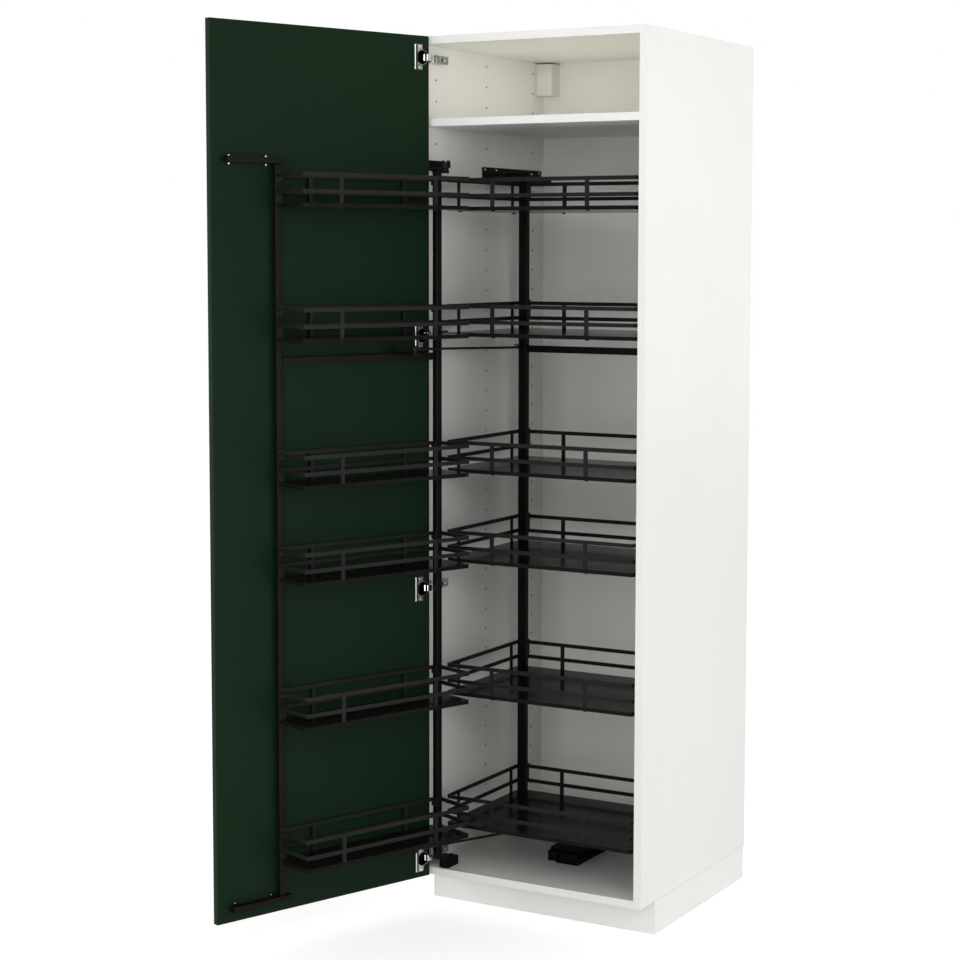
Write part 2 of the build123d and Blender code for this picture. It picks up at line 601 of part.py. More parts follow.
def rear_shelves():
    nodes = {}
    half = RAIL_T / 2
    end = SHELF_X + SHELF_W
    spots = []
    for x in (SHELF_X + SHELF_UPRIGHT_IN, end - SHELF_UPRIGHT_IN):
        for y in (SHELF_Y + half, SHELF_BACK - half):
            spots.append((x, y, UPRIGHT_W, RAIL_T))
    for y in (SHELF_Y + SIDE_UPRIGHT_FRONT, SHELF_BACK - SIDE_UPRIGHT_BACK):
        for x in (SHELF_X + half, end - half):
            spots.append((x, y, RAIL_T, UPRIGHT_W))
    post_end = REAR_POST_X + REAR_POST_W
    notch_y = REAR_POST_Y - NOTCH_GAP
    for tier, height in enumerate(TIERS, start=1):
        z = FLOOR + height
        under = z - UNDER_TIER
        shelf = rail_frame(SHELF_X, SHELF_Y, SHELF_W, SHELF_D, z, spots)
        for x in (post_end, REAR_POST_X2 - HOOK_T):
            shelf += block(x, x + HOOK_T, REAR_POST_Y, SHELF_BACK - RAIL_T,
                           z - MID_RAIL_DROP - RAIL_H / 2, z + HOOK_OVER)
        tray = tray_board(SHELF_X, SHELF_Y, SHELF_W, SHELF_D, z)
        tray -= block(SHELF_X, post_end + NOTCH_GAP, notch_y, SHELF_BACK, under, z)
        tray -= block(REAR_POST_X2 - NOTCH_GAP, end, notch_y, SHELF_BACK, under, z)
        nodes[f"rear_shelf_{tier}"] = shelf
        nodes[f"rear_tray_{tier}"] = tray
    return nodes


def rear_post(x0):
    """A post with a groove down its front face."""
    x1 = x0 + REAR_POST_W
    y1 = REAR_POST_Y + REAR_POST_D
    z0 = FLOOR + FOOT_BAR_Z + FOOT_BAR_H
    z1 = FLOOR + REAR_FRAME_TOP
    upright = post(x0, x1, REAR_POST_Y, y1, z0, z1)
    middle = (x0 + x1) / 2
    half = REAR_GROOVE_W / 2
    return upright - block(middle - half, middle + half, REAR_POST_Y, REAR_POST_Y + REAR_GROOVE_D, z0, z1)


def rod_tab(z):
    """A lug ahead of the left post, just above a control rod's rear eye."""
    x, y = ROD_REAR
    return block(x - TAB_W / 2, x + TAB_W / 2, y - ROD_TAB_AHEAD, REAR_POST_Y, z, z + TAB_T)


def rear_frame():
    post_mid = REAR_POST_Y + REAR_POST_D / 2
    rail_z = FLOOR + REAR_RAIL_Z
    bar_z = FLOOR + FOOT_BAR_Z
    top_z = FLOOR + REAR_FRAME_TOP
    post_end = REAR_POST_X + REAR_POST_W
    left_x = FLOOR_RAIL_X - FLOOR_RAIL_W / 2
    right_x = FLOOR_RAIL_X + FLOOR_RAIL_W / 2
    bridge_z = FLOOR + CARRIAGE_BLOCK_H
    y0 = FRONT + CARRIAGE_FRONT
    y1 = y0 + CARRIAGE_LEN
    wall = FLOOR_RAIL_T + CARRIAGE_GAP
    cheek_x = left_x - CARRIAGE_GAP
    carriage = block(left_x + wall, right_x - wall, y0, y1, FLOOR + FLOOR_RAIL_T + SEAT_GAP, bridge_z)
    carriage += block(cheek_x - CHEEK_W, right_x, y0 + CARRIAGE_SPLIT, y1, bridge_z, bridge_z + CARRIAGE_BRIDGE_T)
    carriage += block(cheek_x - CHEEK_W, cheek_x, y0, y0 + CHEEK_LEN, FLOOR + SEAT_GAP, bridge_z)
    stem_z = bridge_z + CARRIAGE_BRIDGE_T
    carriage += block(FLOOR_RAIL_X - STEM_W / 2, FLOOR_RAIL_X + STEM_W / 2, y1 - CHEEK_LEN,
                      post_mid - FOOT_BAR_D / 2, stem_z, bar_z + FOOT_BAR_H)
    bar = block(REAR_POST_X, REAR_POST_X2 + REAR_POST_W, post_mid - FOOT_BAR_D / 2, post_mid + FOOT_BAR_D / 2,
                bar_z, bar_z + FOOT_BAR_H)
    low_top = FLOOR + LOWER_ROD_REAR_Z + ROD_EYE_H / 2 + ROD_TAB_GAP
    low_tab = rod_tab(low_top)
    drop = block(ROD_REAR[0] - TAB_W / 2, ROD_REAR[0] + TAB_W / 2, REAR_POST_Y, post_mid + FOOT_BAR_D / 2,
                 low_top, bar_z)
    rail_x = IN_LEFT + WALL_RAIL_IN + WALL_RAIL_W / 2
    tongue_y0 = post_mid - SLIDER_TONGUE_LEN / 2
    tongue_y1 = post_mid + SLIDER_TONGUE_LEN / 2
    half_t = SLIDER_TONGUE_T / 2
    slider = block(rail_x - half_t, post_end, REAR_POST_Y, REAR_POST_Y + REAR_POST_D, top_z, top_z + SLIDER_T)
    slider += block(rail_x - half_t, rail_x + half_t, tongue_y0, tongue_y1,
                    WALL_RAIL_Z + WALL_RAIL_WALL + CARRIAGE_GAP, top_z + SLIDER_T)
    upper_tab = rod_tab(FLOOR + UPPER_ROD_REAR_Z + ROD_EYE_H / 2 + ROD_TAB_GAP)
    return {
        "rear_post_left": rear_post(REAR_POST_X) + upper_tab,
        "rear_post_right": rear_post(REAR_POST_X2),
        "rear_cross_rail": block(post_end, REAR_POST_X2, post_mid - REAR_RAIL_D / 2, post_mid + REAR_RAIL_D / 2,
                                 rail_z, rail_z + CROSS_RAIL_H),
        "rear_foot_bar": bar + drop + low_tab,
        "rear_carriage": carriage,
        "rear_top_slider": slider,
    }


# Fixed guides of the rear frame: a bracket with a channel on the left wall, a rail on the floor
WALL_RAIL_Z = FLOOR + REAR_FRAME_TOP - WALL_RAIL_H - SLIDER_T - CARRIAGE_GAP


def rear_guides():
    y0 = FRONT + WALL_GUIDE_FRONT
    ry0 = FRONT + WALL_RAIL_FRONT
    ry1 = ry0 + WALL_RAIL_LEN
    x0 = IN_LEFT + WALL_RAIL_IN
    x1 = x0 + WALL_RAIL_W
    z = WALL_RAIL_Z
    bracket = block(IN_LEFT, IN_LEFT + WALL_GUIDE_T, y0, y0 + WALL_GUIDE_LEN, z, z + WALL_GUIDE_H)
    holes = [(y0 + along, down) for along, down in WALL_GUIDE_HOLES_FRONT]
    holes += [(y0 + WALL_GUIDE_LEN - along, down) for along, down in WALL_GUIDE_HOLES_BACK]
    for y, down in holes:
        bore = Pos(IN_LEFT + WALL_GUIDE_T / 2, y, z + WALL_GUIDE_H - down) * Rot(0, 90, 0)
        bracket -= bore * Cylinder(WALL_GUIDE_HOLE_R, WALL_GUIDE_T)
    bracket += block(IN_LEFT, x1, ry0, y0 + WALL_GUIDE_LEN, z, z + WALL_RAIL_WALL)
    bracket += block(x0, x1, ry0, ry1, z, z + WALL_RAIL_WALL)
    bracket += block(x0, x0 + WALL_RAIL_WALL, ry0, ry1, z, z + WALL_RAIL_H)
    bracket += block(x1 - WALL_RAIL_WALL, x1, ry0, ry1, z, z + WALL_RAIL_H)
    fy0 = FRONT + FLOOR_RAIL_FRONT
    fy1 = fy0 + FLOOR_RAIL_LEN
    fx0 = FLOOR_RAIL_X - FLOOR_RAIL_W / 2
    fx1 = FLOOR_RAIL_X + FLOOR_RAIL_W / 2
    rail = block(fx0, fx1, fy0, fy1, FLOOR, FLOOR + FLOOR_RAIL_T)
    rail += block(fx0, fx0 + FLOOR_RAIL_T, fy0, fy1, FLOOR, FLOOR + FLOOR_RAIL_H)
    rail += block(fx1 - FLOOR_RAIL_T, fx1, fy0, fy1, FLOOR, FLOOR + FLOOR_RAIL_H)
    return {"wall_guide_bracket": bracket, "floor_rail": rail}


# Control rods and the brackets on the front frame that carry their front pins
def rod(front_z, rear_z):
    start = Vector(ROD_FRONT[0], ROD_FRONT[1], FLOOR + front_z)
    finish = Vector(ROD_REAR[0], ROD_REAR[1], FLOOR + rear_z)
    along = (finish - start).normalized()
    inset = (ROD_EYE_R + ROD_PIN_R) / 2
    run = (finish - start).length - 2 * inset
    bar = Solid.make_cylinder(ROD_R, run, Plane(origin=start + along * inset, z_dir=along))
    eye = Circle(ROD_EYE_R) - Circle(ROD_PIN_R + PIVOT_FIT)
    piece = Part() + bar
    for x, y, z in (start, finish):
        piece += slab(Pos(x, y) * eye, z - ROD_EYE_H / 2, ROD_EYE_H)
    return piece


def rod_bracket(plan, eye_z, plate_z):
    """A flat arm with a headed pin through the rod's eye, above the arm or hanging under it."""
    e, n = ROD_FRONT_E, ROD_FRONT_N
    side = 1 if eye_z > plate_z else -1
    seat = eye_z - side * (ROD_EYE_H / 2 + SEAT_GAP)
    head_root = eye_z + side * (ROD_EYE_H / 2 + ROD_HEAD_GAP)
    head_tip = head_root + side * ROD_PIN_HEAD_H
    plate_mid = plate_z + ROD_BRACKET_T / 2
    bracket = slab(plan, plate_z, ROD_BRACKET_T)
    for radius, root, tip in ((ROD_PIN_HEAD_R, plate_mid, seat), (ROD_PIN_R, plate_mid, head_tip),
                              (ROD_PIN_HEAD_R, head_root, head_tip)):
        low, high = sorted((root, tip))
        bracket += disc(e, n, low, radius, high - low)
    return in_frame(bracket)


def rod_brackets():
    e, n = ROD_FRONT_E, ROD_FRONT_N
    half = ROD_BRACKET_W / 2
    post_end = PIVOT_POST_E + PIVOT_POST_W
    tip = Pos(e, n) * Circle(half)
    high_plan = tip + Pos(e, (FRAME_BACK + n) / 2) * Rectangle(ROD_BRACKET_W, n - FRAME_BACK)
    low_plan = tip + Polygon((post_end, FRAME_BACK), (post_end, FRAME_BACK + PIVOT_POST_D),
                             (e - half, n + half / 2), (e + half, n - half / 2), align=None)
    rail_top = FLOOR + CROSS_RAIL_Z + CROSS_RAIL_H
    low_eye = FLOOR + LOWER_ROD_FRONT_Z
    above = low_eye + ROD_EYE_H / 2 + ROD_PIN_STEP
    return {"front_rod_brackets": group([
        rod_bracket(high_plan, FLOOR + UPPER_ROD_FRONT_Z, rail_top),
        rod_bracket(low_plan, low_eye, above),
    ])}


def control_rods():
    return {
        "control_rod_upper": rod(UPPER_ROD_FRONT_Z, UPPER_ROD_REAR_Z),
        "control_rod_lower": rod(LOWER_ROD_FRONT_Z, LOWER_ROD_REAR_Z),
    }


def main():
    os.makedirs("parts", exist_ok=True)
    nodes = {}
    for make in (carcass, base, bracket_covers, hinges, door, door_guides, pivot_bearings, front_frame,
                 front_baskets, rear_shelves, rear_frame, rear_guides, rod_brackets, control_rods):
        nodes.update(make())
    for name, solid in nodes.items():
        export_step(solid, f"parts/{name}.step")
    print(len(nodes), "nodes")
    print("arm pin", ARM_PIN, "cup pin", CUP_PIN_OPEN, "link turn", LINK_TURN)
    print("frame pivot", PIVOT, "rod front", ROD_FRONT, "in the frame", (ROD_FRONT_E, ROD_FRONT_N))
    print("rod rear", ROD_REAR, "rod bearings open and shut", ROD_OPEN_BEARING, ROD_SHUT_BEARING)


main()
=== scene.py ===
# %% [markdown]
# A tall kitchen cabinet, dressed for its portrait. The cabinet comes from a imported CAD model: every
# panel, rail and hinge is already in its place, in metres. This lesson gives each of them the finish of
# the real thing, adds the small fixings that the CAD leaves out, and sets up a camera, a floor and soft
# light.

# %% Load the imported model
import json
from math import cos, pi, radians, sin

import bpy
from mathutils import Matrix, Vector


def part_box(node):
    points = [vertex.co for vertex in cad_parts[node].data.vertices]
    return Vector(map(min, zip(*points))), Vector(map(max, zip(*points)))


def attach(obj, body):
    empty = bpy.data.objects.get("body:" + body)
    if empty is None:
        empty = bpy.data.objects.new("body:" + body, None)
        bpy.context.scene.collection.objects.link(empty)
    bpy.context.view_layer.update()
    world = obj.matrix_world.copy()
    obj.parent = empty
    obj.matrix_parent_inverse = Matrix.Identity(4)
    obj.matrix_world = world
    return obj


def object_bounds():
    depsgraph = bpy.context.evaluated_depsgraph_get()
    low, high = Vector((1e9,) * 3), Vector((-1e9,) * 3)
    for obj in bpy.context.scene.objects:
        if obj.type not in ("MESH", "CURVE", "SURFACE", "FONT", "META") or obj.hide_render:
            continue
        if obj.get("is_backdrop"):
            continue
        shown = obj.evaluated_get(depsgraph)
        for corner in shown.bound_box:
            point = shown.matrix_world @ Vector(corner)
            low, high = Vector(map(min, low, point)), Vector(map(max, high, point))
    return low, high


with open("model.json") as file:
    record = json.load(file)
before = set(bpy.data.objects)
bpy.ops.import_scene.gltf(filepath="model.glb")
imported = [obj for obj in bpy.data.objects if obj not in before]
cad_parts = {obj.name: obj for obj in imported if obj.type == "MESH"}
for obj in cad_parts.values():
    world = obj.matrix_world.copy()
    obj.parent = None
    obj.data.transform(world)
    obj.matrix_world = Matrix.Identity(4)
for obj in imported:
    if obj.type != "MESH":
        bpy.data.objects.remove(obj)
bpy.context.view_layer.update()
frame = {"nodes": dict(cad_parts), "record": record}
record = frame["record"]
joints = {joint["name"]: joint for joint in record["behaviour"]["joints"]}

# %% [markdown]
# Colours are picked as sRGB hex values, as any paint program shows them. Blender's shaders work in linear
# light, so one function translates. A second one adds a shader node, sets its values and plugs in its
# links, which keeps each recipe below short enough to read as a list of ingredients.

# %% Colours and nodes
MM = 0.001


def linear(hex_colour):
    """An sRGB hex colour as linear RGBA."""
    channels = [int(hex_colour[i:i + 2], 16) / 255 for i in (1, 3, 5)]
    return tuple(c / 12.92 if c <= 0.04045 else ((c + 0.055) / 1.055) ** 2.4 for c in channels) + (1.0,)


def add(tree, kind, inputs=None, **settings):
    """Adds a node. An input takes a plain value, or another node's output to link."""
    made = tree.nodes.new(kind)
    for name, value in settings.items():
        setattr(made, name, value)
    for name, value in (inputs or {}).items():
        if isinstance(value, bpy.types.NodeSocket):
            tree.links.new(value, made.inputs[name])
        else:
            made.inputs[name].default_value = value
    return made


print("white board in linear light:", [round(c, 3) for c in linear("#e9e8e4")])

# %% [markdown]
# Most surfaces here are coatings: melamine, lacquer, powder coat, moulded plastic. They share a build-up.
# A slow drift of tone keeps a large panel from looking printed, a fine grain lifts the surface a few
# hundredths of a millimetre, and the roughness follows that grain. Where two faces meet, the edge is
# softer and its colour a little lighter: partly wear of the coat, and partly a painted highlight, the
# light that a rounded edge catches. The Bevel node finds those edges without touching the mesh.

# %% One recipe for coated surfaces
# a Mix node's colour inputs and its colour output, by their place in its lists
MIX_A, MIX_B, MIX_OUT = 6, 7, 2
DRIFT_FROM, DRIFT_TO = 0.35, 0.65
EDGE_FROM, EDGE_TO = 0.995, 0.9


def coating(name, colour, drift, edge, patch_mm, grain_mm, relief_mm, rough,
            edge_mm=0.8, stretch=(1, 1, 1), **shader):
    """A coat: drifting tones, edges paled for wear and painted highlight, and grain in relief and gloss."""
    material = bpy.data.materials.new(name)
    material.use_nodes = True
    tree = material.node_tree
    surface = tree.nodes["Principled BSDF"]
    place = add(tree, "ShaderNodeMapping", {"Vector": add(tree, "ShaderNodeTexCoord").outputs["Object"],
                                            "Scale": stretch}).outputs["Vector"]
    patches = add(tree, "ShaderNodeTexNoise", {"Vector": place, "Scale": 1000 / patch_mm, "Detail": 4.0})
    grain = add(tree, "ShaderNodeTexNoise", {"Vector": place, "Scale": 1000 / grain_mm, "Detail": 2.0})
    tone = add(tree, "ShaderNodeMapRange", {"Value": patches.outputs["Fac"],
                                            "From Min": DRIFT_FROM, "From Max": DRIFT_TO})
    paint = add(tree, "ShaderNodeMix", {0: tone.outputs["Result"], MIX_A: linear(colour),
                                        MIX_B: linear(drift)}, data_type="RGBA")
    soft = add(tree, "ShaderNodeBevel", {"Radius": edge_mm * MM}, samples=4)
    facing = add(tree, "ShaderNodeVectorMath", {0: soft.outputs["Normal"],
                                                1: add(tree, "ShaderNodeNewGeometry").outputs["Normal"]},
                 operation="DOT_PRODUCT")
    # the Bevel mask: edges get a lighter colour, partly wear and partly a painted highlight
    edge_wear_and_sheen_mask = add(tree, "ShaderNodeMapRange", {"Value": facing.outputs["Value"],
                                              "From Min": EDGE_FROM, "From Max": EDGE_TO})
    wear_and_sheen_paint = add(tree, "ShaderNodeMix", {0: edge_wear_and_sheen_mask.outputs["Result"], MIX_A: paint.outputs[MIX_OUT],
                                       MIX_B: linear(edge)}, data_type="RGBA")
    gloss = add(tree, "ShaderNodeMapRange", {"Value": grain.outputs["Fac"],
                                             "To Min": rough[0], "To Max": rough[1]})
    relief = add(tree, "ShaderNodeBump", {"Height": grain.outputs["Fac"], "Distance": relief_mm * MM,
                                          "Normal": soft.outputs["Normal"]})
    tree.links.new(wear_and_sheen_paint.outputs[MIX_OUT], surface.inputs["Base Color"])
    tree.links.new(gloss.outputs["Result"], surface.inputs["Roughness"])
    tree.links.new(relief.outputs["Normal"], surface.inputs["Normal"])
    for socket, value in shader.items():
        surface.inputs[socket.replace("_", " ")].default_value = value
    return material


# %% [markdown]
# Now the eight finishes of this cabinet, and two that depart from them: a polished zinc, and a darker
# copy of the black powder coat, which paints shade onto the posts, brackets, rails and guides. The white
# board is melamine: smooth, faintly warm, with a satin gloss. The door is a dark green lacquer that is
# almost matt. The fitting is black powder coat with a fine orange peel, and its trays are black laminate
# with a faint ripple. Hinges are bright zinc. Apart from that ripple, the grains are drawn at about their
# real size, a millimetre or so. From the camera's place that is finer than a pixel, so the faces look
# smooth there, as they do in the photograph, and the grain shows only close up.

# %% The finishes of the cabinet
# zinc plate is used twice: its tones, its patches, grain and relief in millimetres, and its range of gloss
ZINC = ("#b9bbba", "#9b9d9c", "#e6e8e8", 9, 0.7, 0.01, (0.16, 0.3))
finishes = {
    # satin white board: bright and even, with just enough drift to read as a real panel
    "melamine_white": coating("white_melamine", "#f5f4f0", "#f2f1ed", "#f7f6f4", 420, 1.4, 0.02,
                              (0.36, 0.46)),
    # deep matt green: nearly black in shade; its edge is painted paler, partly wear and partly a painted
    # highlight
    "door_lacquer": coating("green_lacquer", "#0d2212", "#112515", "#46514a", 380, 1.1, 0.02, (0.42, 0.55),
                            edge_mm=1.0, Specular_IOR_Level=0.07),
    # the plinth is the same white on a coarser board, with a duller gloss
    "plinth_board": coating("white_plinth_board", "#f8f7f4", "#f4f3f0", "#faf9f7", 260, 1.8, 0.03,
                            (0.4, 0.52)),
    # powder coat: a soft black with a tight orange peel that breaks the highlights on rails and posts
    "dark_steel": coating("black_powder_coat", "#242322", "#1e1d1c", "#3a3937", 120, 0.9, 0.02, (0.28, 0.4),
                          edge_mm=0.6, Specular_IOR_Level=0.08),
    # tray board: a smooth black laminate that mirrors the posts as soft upright streaks
    "tray_board": coating("black_laminate", "#1b1a19", "#171615", "#2e2d2b", 90, 6.0, 0.004, (0.12, 0.2),
                          Specular_IOR_Level=0.03),
    # zinc plate: a bright metal with cloudy patches and fine rolling marks
    "zinc_steel": coating("bright_zinc", *ZINC, edge_mm=0.5, stretch=(1.0, 1.0, 0.35), Metallic=1.0),
    # moulded white plastic: warmer than the board, with a spark-eroded grain
    "white_plastic": coating("white_moulding", "#e9e8df", "#e3e2d8", "#f0efe8", 70, 0.8, 0.03, (0.4, 0.5)),
    # moulded black plastic of sliders, shoes and legs
    "black_plastic": coating("black_moulding", "#0d0d0d", "#090909", "#1f1f1f", 60, 0.8, 0.04, (0.42, 0.55),
                             Specular_IOR_Level=0.05),
}
# polished plate: the links and folded edges of the hinges flash white
polished = coating("polished_zinc", "#f3f4f4", "#e9ebeb", "#fbfbfb", 9, 0.7, 0.005, (0.08, 0.14),
                   edge_mm=0.4, Metallic=1.0)
# a darker copy of the black powder coat: painted shade on posts, brackets, rails and guides
painted_shade_black = coating("deep_black_coat", "#131211", "#0f0e0d", "#2b2a28", 120, 0.9, 0.02, (0.32, 0.44),
                     edge_mm=0.6, Specular_IOR_Level=0.08)
variants = {"hinge_links": polished}
coated = [subpart["node"] for subpart in record["subparts"] if subpart["material_slot"] == "dark_steel"]
for word in ("post", "bracket", "knuckles", "rail", "foot_bar", "guide"):
    variants.update({name: painted_shade_black for name in coated if word in name})
for word in ("block", "carriage"):
    variants.update({name: finishes["black_plastic"] for name in coated if word in name})
print("deep black and moulded:", ", ".join(sorted(variants)))
for subpart in record["subparts"]:
    node = frame["nodes"][subpart["node"]]
    if not node.material_slots:
        node.data.materials.append(None)
    for slot in node.material_slots:
        slot.material = variants.get(subpart["node"], finishes[subpart["material_slot"]])
print("finishes:", ", ".join(material.name for material in finishes.values()))

# %% [markdown]
# The cabinet's parts turn about upright axes, so a spot on the open door or on the swung-out frame is
# easiest to give in their own directions: along the door, out from it, and up. Both stand open at the
# same angle, which is the frame joint's whole travel.

# %% Places on the open door and the swung-out frame
OPEN = -radians(joints["front_frame_swing"]["range_deg"][1])
ALONG = Vector((cos(OPEN), sin(OPEN), 0))
OUT = Vector((-sin(OPEN), cos(OPEN), 0))
UP = Vector((0, 0, 1))
DOOR_CORNER = Vector((-257.9, -98.0, 0)) * MM
DOOR_WIDTH = 597.0
PIVOT = Vector(joints["front_frame_swing"]["pos_m"])
PIVOT.z = 0


def on_door(along, out, up):
    """Millimetres along the door from its hinge edge, out from its inner face, and above the floor."""
    return DOOR_CORNER + (ALONG * along + OUT * out + UP * up) * MM


def on_swing(along, out, up):
    """Millimetres along the swing frame from its pivot, out from its line, and above the floor."""
    return PIVOT + (ALONG * along + OUT * out + UP * up) * MM


print("door's free edge at", [round(v, 3) for v in on_door(DOOR_WIDTH, 0, 0)])

# %% [markdown]
# Each hinge has a round cup let into the door. Its rim and wings are bright plate, and its inside lies in
# shade and reads as a black hole behind the white links. That shade is painted: the cup is one CAD node,
# so the change of colour comes from its own coordinates: some way below the door's inner face, the plate
# is painted dark.

# %% Painted shade inside the cups of the hinges
BRIGHT_RIM = 3.0 * MM
CUP_LEVEL = DOOR_CORNER.dot(OUT) - BRIGHT_RIM
FADE = 0.3 * MM


def darkened_below(material, direction, level, shade):
    """Darkens a material below a plane that faces a direction."""
    tree = material.node_tree
    surface = tree.nodes["Principled BSDF"]
    above = surface.inputs["Base Color"].links[0].from_socket
    height = add(tree, "ShaderNodeVectorMath", {0: add(tree, "ShaderNodeTexCoord").outputs["Object"],
                                                1: direction}, operation="DOT_PRODUCT")
    share = add(tree, "ShaderNodeMapRange", {"Value": height.outputs["Value"],
                                             "From Min": level - FADE, "From Max": level + FADE})
    mixed = add(tree, "ShaderNodeMix", {0: share.outputs["Result"], MIX_A: linear(shade), MIX_B: above},
                data_type="RGBA")
    tree.links.new(mixed.outputs[MIX_OUT], surface.inputs["Base Color"])


# zinc plate again, with painted shade inside the cup
cup_zinc = coating("greased_zinc_cup", *ZINC, edge_mm=0.5, Metallic=1.0)
darkened_below(cup_zinc, OUT, CUP_LEVEL, "#0b0b0b")
for slot in frame["nodes"]["hinge_cups"].material_slots:
    slot.material = cup_zinc
print("cups are dark below", round(CUP_LEVEL, 4), "m along", [round(v, 3) for v in OUT])

# %% [markdown]
# Screws hold the whole thing together, and dozens of them show. A Geometry Nodes tree makes one head, a
# low cone with a cross of thin bars on it, painted near black as the shade in a cross cut, and sets a copy
# on every point it is given. Each point carries a direction to face. The result is realised into a plain
# mesh, because a scattered copy wouldn't survive an export.

# %% The screw tree
DRIVE = "drive"
FACING = "facing"
CROWN_SHARE = 0.72
CUT_WIDTH_SHARE = 0.22
CUT_HEIGHT_SHARE = 0.12
HEAD_SIDES = 16


def socket_of(tree, name, kind, value=None):
    """A named input of a tree."""
    socket = tree.interface.new_socket(name, in_out="INPUT", socket_type=kind)
    if value is not None:
        socket.default_value = value
    return socket


def screw_tree():
    """A tree that sets a cross-cut screw head on every point."""
    tree = bpy.data.node_groups.new("screw_heads", "GeometryNodeTree")
    socket_of(tree, "Points", "NodeSocketGeometry")
    socket_of(tree, "Head radius", "NodeSocketFloat", 3.5 * MM)
    socket_of(tree, "Head height", "NodeSocketFloat", 2.0 * MM)
    socket_of(tree, "Metal", "NodeSocketMaterial")
    socket_of(tree, "Cut", "NodeSocketMaterial")
    tree.interface.new_socket("Screws", in_out="OUTPUT", socket_type="NodeSocketGeometry")
    given = add(tree, "NodeGroupInput").outputs
    radius, height = given["Head radius"], given["Head height"]

    def times(value, factor):
        return add(tree, "ShaderNodeMath", {0: value, 1: factor}, operation="MULTIPLY").outputs["Value"]

    head = add(tree, "GeometryNodeMeshCone", {"Vertices": HEAD_SIDES,
                                              "Radius Top": times(radius, CROWN_SHARE),
                                              "Radius Bottom": radius, "Depth": height})
    lift = add(tree, "ShaderNodeCombineXYZ", {"Z": height})
    long_bar = add(tree, "ShaderNodeCombineXYZ", {"X": radius, "Y": times(radius, CUT_WIDTH_SHARE),
                                                  "Z": times(height, CUT_HEIGHT_SHARE)})
    cuts = []
    for turn in (0.0, pi / 2):
        bar = add(tree, "GeometryNodeMeshCube", {"Size": long_bar.outputs["Vector"]})
        cuts.append(add(tree, "GeometryNodeTransform", {"Geometry": bar.outputs["Mesh"],
                                                        "Rotation": (0, 0, turn),
                                                        "Translation": lift.outputs["Vector"]}))
    cross = add(tree, "GeometryNodeJoinGeometry", {"Geometry": cuts[0].outputs["Geometry"]})
    tree.links.new(cuts[1].outputs["Geometry"], cross.inputs["Geometry"])
    marked = add(tree, "GeometryNodeStoreNamedAttribute", {"Geometry": cross.outputs["Geometry"],
                                                           "Name": DRIVE, "Value": True},
                 data_type="BOOLEAN", domain="FACE")
    screw = add(tree, "GeometryNodeJoinGeometry", {"Geometry": head.outputs["Mesh"]})
    tree.links.new(marked.outputs["Geometry"], screw.inputs["Geometry"])
    facing = add(tree, "GeometryNodeInputNamedAttribute", {"Name": FACING}, data_type="FLOAT_VECTOR")
    turned = add(tree, "FunctionNodeAlignRotationToVector", {"Vector": facing.outputs["Attribute"]}, axis="Z")
    copies = add(tree, "GeometryNodeInstanceOnPoints", {"Points": given["Points"],
                                                        "Instance": screw.outputs["Geometry"],
                                                        "Rotation": turned.outputs["Rotation"]})
    solid = add(tree, "GeometryNodeRealizeInstances", {"Geometry": copies.outputs["Instances"]})
    bright = add(tree, "GeometryNodeSetMaterial", {"Geometry": solid.outputs["Geometry"],
                                                   "Material": given["Metal"]})
    # the cross bars take the Cut material: painted shade for the recess of the drive
    drive = add(tree, "GeometryNodeInputNamedAttribute", {"Name": DRIVE}, data_type="BOOLEAN")
    finished = add(tree, "GeometryNodeSetMaterial", {"Geometry": bright.outputs["Geometry"],
                                                     "Selection": drive.outputs["Attribute"],
                                                     "Material": given["Cut"]})
    add(tree, "NodeGroupOutput", {"Screws": finished.outputs["Geometry"]})
    return tree


screws = screw_tree()
print("screw tree with", len(screws.nodes), "nodes")

# %% [markdown]
# Points alone have no place in a modifier, so they go into a mesh of loose vertices with the direction
# stored on each. The modifier's inputs are set by their identifiers, then the evaluated shape is copied
# out as a plain mesh that rides on its body.

# %% From points to plain pieces


def pointed_mesh(name, spots):
    """A mesh of loose points, each with the direction that it faces."""
    mesh = bpy.data.meshes.new(name)
    mesh.from_pydata([place for place, _ in spots], [], [])
    attribute = mesh.attributes.new(FACING, "FLOAT_VECTOR", "POINT")
    for value, (_, direction) in zip(attribute.data, spots):
        value.vector = direction
    return mesh


def grown(name, spots, tree, body, slot, **values):
    """Runs a tree on points and leaves a plain mesh that rides on a body."""
    maker = bpy.data.objects.new(name + "_points", pointed_mesh(name, spots))
    bpy.context.scene.collection.objects.link(maker)
    modifier = maker.modifiers.new("grow", "NODES")
    modifier.node_group = tree
    for item in tree.interface.items_tree:
        key = item.name.lower().replace(" ", "_")
        if item.item_type == "SOCKET" and key in values:
            modifier[item.identifier] = values[key]
    made = maker.evaluated_get(bpy.context.evaluated_depsgraph_get())
    piece = bpy.data.objects.new(name, bpy.data.meshes.new_from_object(made))
    bpy.data.objects.remove(maker)
    bpy.context.scene.collection.objects.link(piece)
    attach(piece, body)
    print(name, "-", len(spots), "of them,", len(piece.data.polygons), "faces")
    return piece


# %% [markdown]
# Under every tray board, a flat screw head sits below each upright of the rails. Tray heights come from
# the CAD boxes, so the screws stay in place if a tier moves. The heads are blackened, like the boards.

# %% Screws under the trays
TIERS = range(1, 7)
BASKET_ENDS = (112.0, 374.0)
BASKET_SIDES = (-5.5, 103.5)
EDGE_IN = 6.0 * MM
SHELF_UPRIGHT_IN = 124.0 * MM
SIDE_UPRIGHTS = (54.0 * MM, 47.0 * MM)

